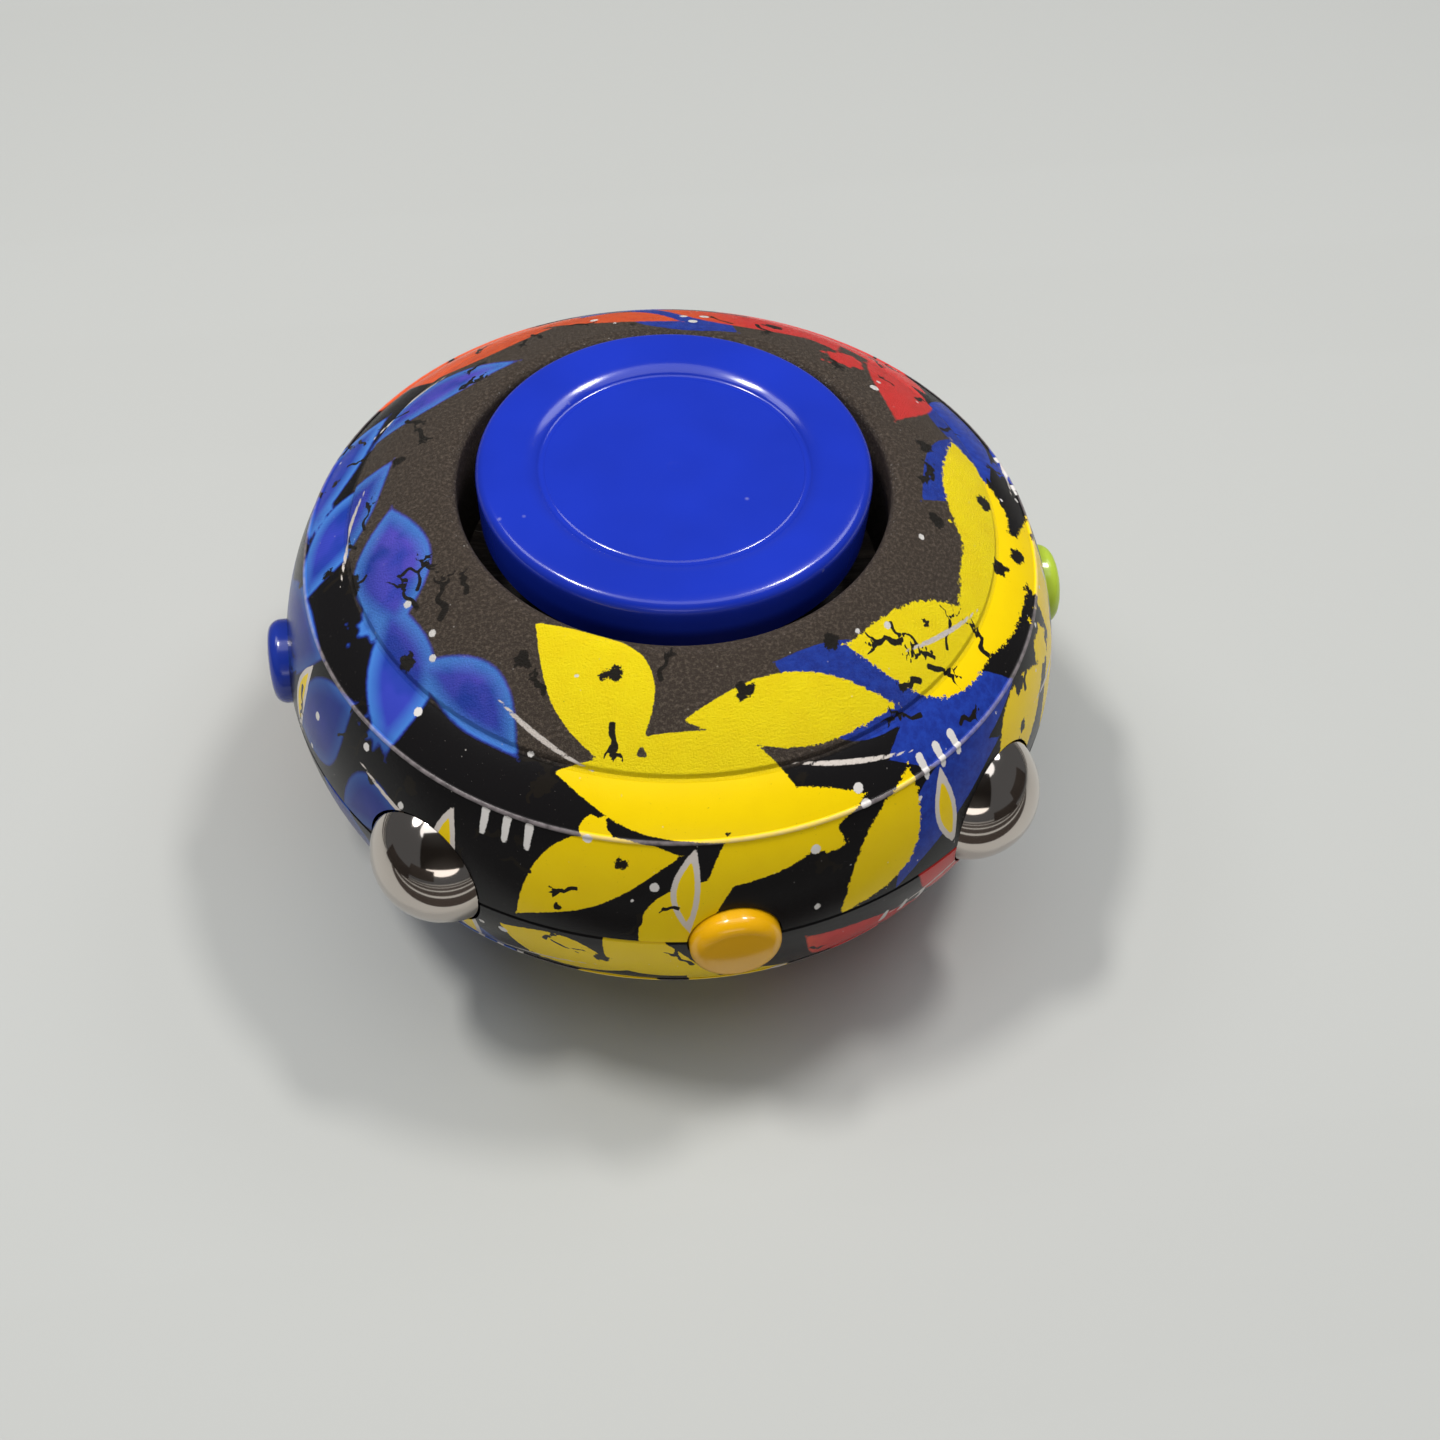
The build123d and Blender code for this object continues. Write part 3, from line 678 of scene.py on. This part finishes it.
def build_shell(name, up, segments, step, paint, material):
    """One printed half of the shell, cut for the balls and buttons."""
    skin, section = shell_profile(step)
    verts, faces = lathe(section, segments, closed=True)
    obj = make_object(name, verts, faces)
    cutters = []
    for azimuth in BALLS.values():
        ball = round_corner(0, 0, SOCKET_R, -90, 90, 49)
        ball = [(0, -SOCKET_R)] + ball[1:-1] + [(0, SOCKET_R)]
        where = Matrix.Rotation(math.radians(azimuth), 4, "Z") @ Matrix.Translation((BALL_RING_R, 0, 0))
        cut_verts, cut_faces = lathe(ball, 96, closed=False)
        cutters.append(make_object("cut", turned(cut_verts, where), cut_faces))
    for azimuth, _ in BUTTONS.values():
        hole = [(0, 20), (BUTTON_HOLE_R, 20), (BUTTON_HOLE_R, 34), (0, 34)]
        where = (Matrix.Rotation(math.radians(azimuth), 4, "Z") @ Matrix.Rotation(math.pi / 2, 4, "Y"))
        cut_verts, cut_faces = lathe(hole, 96, closed=False)
        cutters.append(make_object("cut", turned(cut_verts, where), cut_faces))
    cut_out(obj, cutters)
    mesh = obj.data
    co = np.empty(len(mesh.vertices) * 3)
    mesh.vertices.foreach_get("co", co)
    co = co.reshape(-1, 3) / MM
    rise, off = along_skin(np.column_stack([np.hypot(co[:, 0], co[:, 1]), co[:, 2]]), skin)
    bearing = np.arctan2(co[:, 0], -co[:, 1])
    reach = FILM_R - rise
    x, y = reach * np.sin(bearing), -reach * np.cos(bearing)
    art = Artwork(x, y)
    paint(art)
    fields = dict(art.fields, rise=rise, skin=(off < 0.02).astype(float))
    for field, values in fields.items():
        mesh.attributes.new(field, "FLOAT", "POINT").data.foreach_set("value", values.astype(np.float32))
    film = np.column_stack([x, y, np.zeros(len(x))]).astype(np.float32)
    mesh.attributes.new("film", "FLOAT_VECTOR", "POINT").data.foreach_set("vector", film.ravel())
    mesh.transform(Matrix.Translation((0, 0, SEAM_Z * MM)) @ Matrix.Diagonal((1, 1, 1 if up else -1, 1)))
    if not up:
        mesh.flip_normals()
    mesh.materials.clear()
    mesh.materials.append(material)
    smooth_shade(mesh, 38)
    return obj


def rise_at(point):
    """How far up the skin a point of its profile is."""
    rise, _ = along_skin(np.array([point]), shell_profile(0.26)[0])
    return float(rise[0])


RIDGE_RISE = rise_at((28.787, 9.08))
LIP_RISE = rise_at((17.05, 16.3))

printed = printed_plastic()
for name, up, segments, step, paint in (("upper_shell", True, 700, 0.27, paint_upper),
                                        ("lower_shell", False, 640, 0.3, paint_lower)):
    half = build_shell("print_" + name, up, segments, step, paint, printed)
    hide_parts(name)
    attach(half, "spinner")

# --- finger pads -------------------------------------------------------------------------------
pad_blue = moulded_plastic("pad_blue_plastic", (0.008, 0.028, 0.40), 0.17)
TOP = SEAM_Z
pad_profile = joined(
    [(0, TOP - 0.72), (0.45, TOP - 0.72), (0.55, TOP - 0.69), (0.7, TOP - 0.69)],
    arc((0.7, TOP - 0.69), (6, TOP - 0.67), (9.8, TOP - 0.66), 0.8),
    arc((9.8, TOP - 0.66), (10.15, TOP - 0.73), (10.4, TOP - 0.58), 0.08),
    arc((10.4, TOP - 0.58), (10.85, TOP - 0.32), (11.7, TOP - 0.11), 0.1),
    arc((11.7, TOP - 0.11), (12.5, TOP - 0.02), (13.4, TOP), 0.15),
    arc((13.4, TOP), (14.0, TOP - 0.02), (14.45, TOP - 0.1), 0.15),
    arc((14.45, TOP - 0.1), (14.85, TOP - 0.42), (15.0, TOP - 0.95), 0.12),
    [(14.99, TOP - 1.2), (14.93, TOP - 3), (14.85, TOP - 4.6), (13.3, TOP - 4.6), (13.3, TOP - 2.3),
     (5.4, TOP - 2.55), (5.4, 3.5), (3.97, 3.5), (3.97, 0.1), (2, 0.1), (2, 13.2), (0, 13.2)],
)
for name, side in (("upper_pad", 1), ("lower_pad", -1)):
    verts, faces = lathe(pad_profile, 192, closed=False)
    verts[:, 2] = SEAM_Z + side * verts[:, 2]
    faces = [face[::-side] for face in faces]
    pad = make_object("moulded_" + name, verts, faces, pad_blue, 30)
    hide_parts(name)
    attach(pad, "hub")

# --- steel balls -------------------------------------------------------------------------------
mirror_steel = metal("mirror_steel", (0.62, 0.56, 0.51), 0.05, 0.06, 420)
for name, azimuth in BALLS.items():
    profile = [(BALL_R * math.cos(a), BALL_R * math.sin(a)) for a in np.radians(np.linspace(-90, 90, 65))]
    profile[0], profile[-1] = (0, -BALL_R), (0, BALL_R)
    verts, faces = lathe(profile, 128, closed=False)
    where = (Matrix.Translation((0, 0, SEAM_Z)) @ Matrix.Rotation(math.radians(azimuth), 4, "Z")
             @ Matrix.Translation((BALL_RING_R, 0, 0)))
    ball = make_object("polished_ball_" + name, turned(verts, where), faces, mirror_steel, 60)
    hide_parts("steel_ball_" + name)
    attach(ball, "ball_" + name)

# --- push buttons ------------------------------------------------------------------------------
BUTTON_COLOURS = {"yellow": (0.78, 0.40, 0.003), "blue": (0.012, 0.035, 0.32),
                  "green": (0.45, 0.60, 0.05), "red": (0.58, 0.022, 0.016)}
button_profile = joined(
    [(0, 32.7)],
    arc((0, 32.7), (1.18, 32.64), (2.35, 32.48), 0.2),
    arc((2.35, 32.48), (3.1, 32.16), (3.4, 31.45), 0.1),
    [(3.4, 31.2), (3.4, 27.95), (4.6, 27.95), (4.6, 26.6), (1.2, 26.6), (1.2, 18), (0, 18)],
)
for name, (azimuth, colour) in BUTTONS.items():
    plastic = moulded_plastic(f"button_{colour}_plastic", BUTTON_COLOURS[colour], 0.16)
    verts, faces = lathe(button_profile, 128, closed=False)
    where = (Matrix.Translation((0, 0, SEAM_Z)) @ Matrix.Rotation(math.radians(azimuth), 4, "Z")
             @ Matrix.Rotation(math.pi / 2, 4, "Y"))
    cap = make_object("moulded_button_" + name, turned(verts, where), faces, plastic, 30)
    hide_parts("button_" + name)
    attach(cap, "press_" + name)

# --- button springs ------------------------------------------------------------------------------
SPRING_FROM, SPRING_TO = 20.25, 26.35     # centres of the first and last turn of wire, along +X
SPRING_R, WIRE_R, SPRING_TURNS = 2.4, 0.22, 6
WIRE_SIDES, TURN_STEPS = 12, 48


def spring_mesh():
    """Vertices and faces of a compression spring along +X, with its end turns closed."""
    closed = 2 * WIRE_R
    stretch = (SPRING_TO - SPRING_FROM - 2 * closed) / (SPRING_TURNS - 2)
    verts, faces = [], []
    steps = SPRING_TURNS * TURN_STEPS
    for i in range(steps + 1):
        turn = i / TURN_STEPS
        open_turns = min(max(turn - 1, 0), SPRING_TURNS - 2)
        x = SPRING_FROM + closed * (turn - open_turns) + stretch * open_turns
        around = np.array([0, math.cos(2 * math.pi * turn), math.sin(2 * math.pi * turn)])
        for side in range(WIRE_SIDES):
            a = 2 * math.pi * side / WIRE_SIDES
            verts.append((SPRING_R + WIRE_R * math.cos(a)) * around + (x + WIRE_R * math.sin(a), 0, 0))
    for i in range(steps):
        for side in range(WIRE_SIDES):
            a, b = i * WIRE_SIDES + side, i * WIRE_SIDES + (side + 1) % WIRE_SIDES
            faces.append((a, b, b + WIRE_SIDES, a + WIRE_SIDES))
    faces.append(tuple(reversed(range(WIRE_SIDES))))
    faces.append(tuple(range(steps * WIRE_SIDES, (steps + 1) * WIRE_SIDES)))
    return np.array(verts), faces


spring_wire = metal("spring_wire", (0.55, 0.55, 0.56), 0.25, 0.15)
for name, (azimuth, _) in BUTTONS.items():
    verts, faces = spring_mesh()
    where = Matrix.Translation((0, 0, SEAM_Z)) @ Matrix.Rotation(math.radians(azimuth), 4, "Z")
    spring = make_object("coiled_spring_" + name, turned(verts, where), faces, spring_wire, 60)
    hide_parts("button_spring_" + name)
    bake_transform(spring)

# --- metal and nylon pieces that keep their CAD meshes ------------------------------------------
FINISHES = {
    "bearing_steel": metal("ground_steel", (0.62, 0.62, 0.63), 0.18, 0.2),
    "shield_steel": metal("pressed_steel", (0.66, 0.66, 0.67), 0.28, 0.2),
    "pin_steel": metal("drawn_pin_steel", (0.60, 0.60, 0.61), 0.25, 0.2),
    "screw_steel": metal("zinc_plate", (0.58, 0.58, 0.60), 0.3, 0.2),
    "cage_nylon": moulded_plastic("natural_nylon", (0.75, 0.72, 0.62), 0.5),
}
for part in frame["record"]["subparts"]:
    finish = FINISHES.get(part["material_slot"])
    if finish:
        node = frame["nodes"][part["node"]]
        node.data.materials.clear()
        node.data.materials.append(finish)

# --- floor, light and camera ---------------------------------------------------------------------
floor_paint = Shader("pale_floor")
floor_paint.set(base_color=(0.42, 0.43, 0.42), roughness=0.7)
floor = make_object("floor", [(x, y, -0.02) for x, y in ((-3000, -3000), (3000, -3000), (3000, 3000),
                                                         (-3000, 3000))], [(0, 1, 2, 3)],
                    floor_paint.material)

LAMP_TARGET = (0, 0, 20)


def area_light(name, power, size, location, colour):
    """A soft oval light, placed in millimetres and turned to the spinner."""
    data = bpy.data.lights.new(name, "AREA")
    data.energy = power
    data.shape = "ELLIPSE"
    data.size, data.size_y = size[0] * MM, size[1] * MM
    data.color = colour
    lamp = bpy.data.objects.new(name, data)
    bpy.context.scene.collection.objects.link(lamp)
    lamp.location = Vector(location) * MM
    aim = Vector(LAMP_TARGET) * MM - lamp.location
    lamp.rotation_euler = aim.to_track_quat("-Z", "Y").to_euler()


area_light("key", 1.0, (90, 50), (-150, 60, 420), colour=(1.0, 0.97, 0.92))
area_light("second", 0.85, (90, 50), (170, 90, 420), colour=(1.0, 0.97, 0.93))
area_light("overhead", 1.5, (760, 480), (0, -60, 600), colour=(0.96, 0.98, 1.0))
area_light("left_side", 0.5, (260, 180), (-330, 200, 520), colour=(0.95, 0.97, 1.0))
area_light("right_side", 0.5, (260, 180), (360, 200, 500), colour=(0.95, 0.97, 1.0))
area_light("front", 0.5, (500, 240), (-60, -520, 240), colour=(1.0, 0.95, 0.9))

# dark cards round the spinner, seen only in its reflections
dark = Shader("dark_card")
dark.set(base_color=(0.030, 0.022, 0.018), roughness=0.8)


def dark_card(name, corners):
    """A flat card from four corners in millimetres, which lies in no light and no view."""
    card = make_object(name, corners, [(0, 1, 2, 3)], dark.material)
    card.visible_camera = card.visible_diffuse = card.visible_shadow = False


# azimuth, distance, lower and upper edge, and width of each upright card
CARDS = ((198, 210, 0, 60, 150), (232, 260, 30, 105, 160), (312, 250, 0, 55, 150), (345, 230, 25, 100, 150))
for i, (azimuth, reach, low, high, wide) in enumerate(CARDS):
    a = math.radians(azimuth)
    x, y = reach * math.cos(a), reach * math.sin(a)
    ax, ay = -wide / 2 * math.sin(a), wide / 2 * math.cos(a)
    dark_card(f"dark_card_{i}", [(x - ax, y - ay, low), (x + ax, y + ay, low), (x + ax, y + ay, high),
                                 (x - ax, y - ay, high)])
STRIPS = ((-62, -43), (-98, -70), (-165, -112), (-300, -190), (45, 64), (82, 130), (160, 260))
STRIP_HALF, STRIP_Z = 420, 0.3
for i, (near, far) in enumerate(STRIPS):
    dark_card(f"dark_strip_{i}", [(x, y, STRIP_Z) for x, y in ((-STRIP_HALF, near), (STRIP_HALF, near),
                                                               (STRIP_HALF, far), (-STRIP_HALF, far))])

# a dark screen behind the camera, which the steel balls and the pad reflect
bearing, slope = math.radians(-9.5), math.radians(46)
back = Vector((math.sin(bearing) * math.cos(slope), -math.cos(bearing) * math.cos(slope), math.sin(slope)))
across = Vector((math.cos(bearing), math.sin(bearing), 0))
upward = back.cross(across)
corners = [Vector((0, 0, 27)) + 190 * back + 120 * u * across + 100 * v * upward
           for u, v in ((-1, -1), (1, -1), (1, 1), (-1, 1))]
dark_card("dark_screen", [tuple(c) for c in corners])

world = bpy.data.worlds.new("studio")
world.use_nodes = True
world.node_tree.nodes["Background"].inputs["Color"].default_value = (0.80, 0.82, 0.85, 1)
world.node_tree.nodes["Background"].inputs["Strength"].default_value = 0.13
bpy.context.scene.world = world
bpy.context.scene.view_settings.view_transform = "Standard"


SENSOR_WIDTH, LENS = 36, 48.38275


def aim_camera():
    """The camera as it stood for the photograph, seen from the front left of the spinner."""
    elevation, bearing, distance = 0.803833, math.radians(-9.5), 153.45
    roll, pan, tilt = -0.0241843, -0.0263497, 0.0891848
    right, rise = Vector((1, 0, 0)), Vector((0, math.sin(elevation), math.cos(elevation)))
    back = Vector((0, -math.cos(elevation), math.sin(elevation)))
    frame_axes = Matrix((right, rise, -back)).transposed()
    x_row = frame_axes @ Vector((math.cos(pan), 0, math.sin(pan)))
    up, level = math.sin(tilt), math.cos(tilt)
    y_row = frame_axes @ Vector((-math.sin(pan) * up, level, math.cos(pan) * up))
    forward = frame_axes @ Vector((-math.sin(pan) * level, -up, math.cos(pan) * level))
    x_axis = math.cos(roll) * x_row - math.sin(roll) * y_row
    y_axis = math.sin(roll) * x_row + math.cos(roll) * y_row
    rotation = Matrix((x_axis, y_axis, -forward)).transposed().to_4x4()
    spin = Matrix.Rotation(bearing, 4, "Z")
    data = bpy.data.cameras.new("camera")
    data.sensor_width, data.lens = SENSOR_WIDTH, LENS
    data.clip_start, data.clip_end = 0.005, 20
    camera = bpy.data.objects.new("camera", data)
    bpy.context.scene.collection.objects.link(camera)
    place = Matrix.Translation((back * distance + Vector((0, 0, SEAM_Z + RIDGE_H))) * MM)
    camera.matrix_world = spin @ place @ rotation
    bpy.context.scene.camera = camera


aim_camera()
